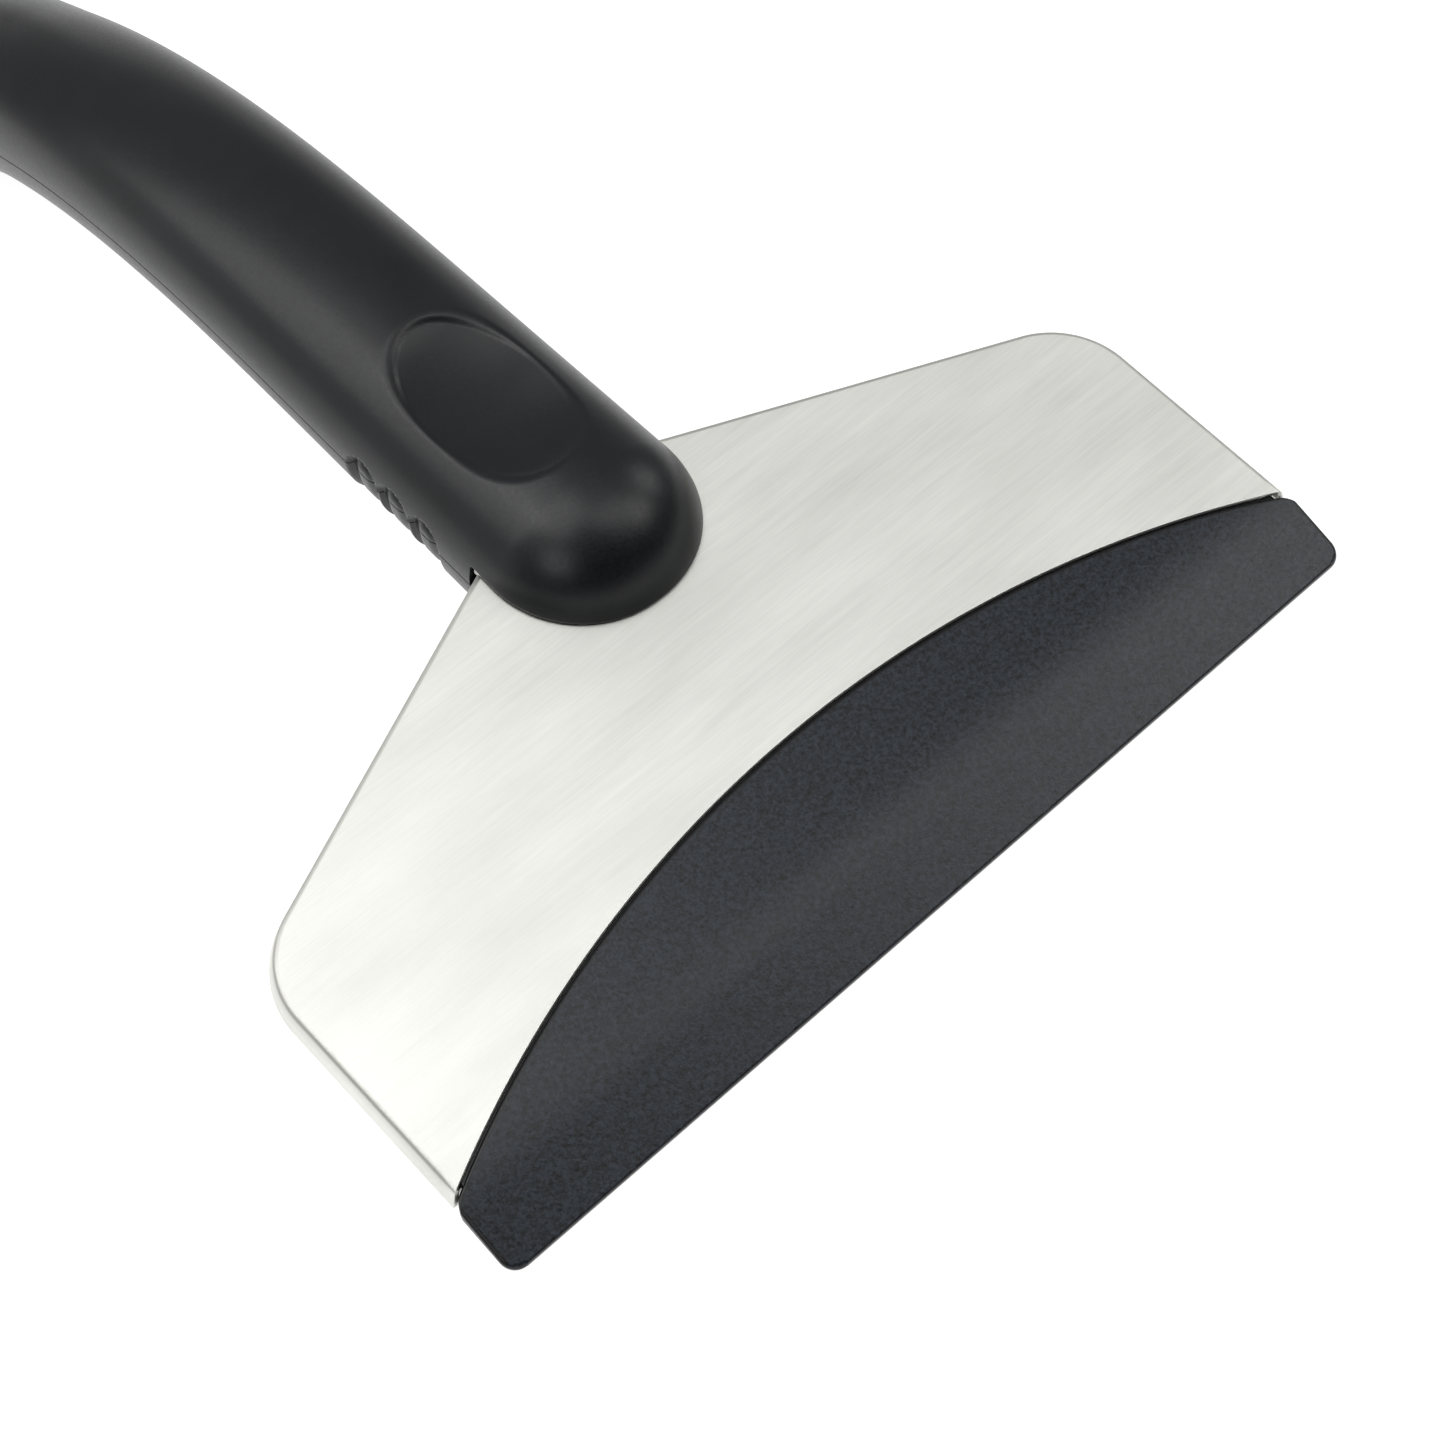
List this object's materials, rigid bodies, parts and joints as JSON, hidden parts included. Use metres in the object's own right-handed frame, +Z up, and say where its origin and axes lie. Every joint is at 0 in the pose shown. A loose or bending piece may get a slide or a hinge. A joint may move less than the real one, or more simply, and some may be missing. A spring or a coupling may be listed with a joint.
{
  "type": "windshield ice scraper",
  "caption": "Hand ice scraper: wide stainless steel head with a hard plastic scraping insert, on an arched black plastic handle with a thumb dish and a hang hole.",
  "frame": {"origin": "middle of the bounding box's underside, on the table that the tool rests on", "axes": "+Y from the scraping edge to the butt, +X along the scraping edge, +Z up with the tool resting on its edge and butt"},
  "size_m": [0.1144, 0.2046, 0.0401],
  "materials": {
    "steel": "brushed along the scraping edge",
    "insert": "fine grained matt, dark blue-grey",
    "spacer": "plain moulded",
    "handle": "satin black",
    "screws": "bright zinc plated"
  },
  "bodies": {
    "root": {"front_plate": "steel", "back_plate": "steel", "blade_insert": "insert", "tang_spacer": "spacer", "handle_top_shell": "handle", "handle_bottom_shell": "handle", "tang_screws": "screws", "butt_screw": "screws"}
  },
  "joints": []
}
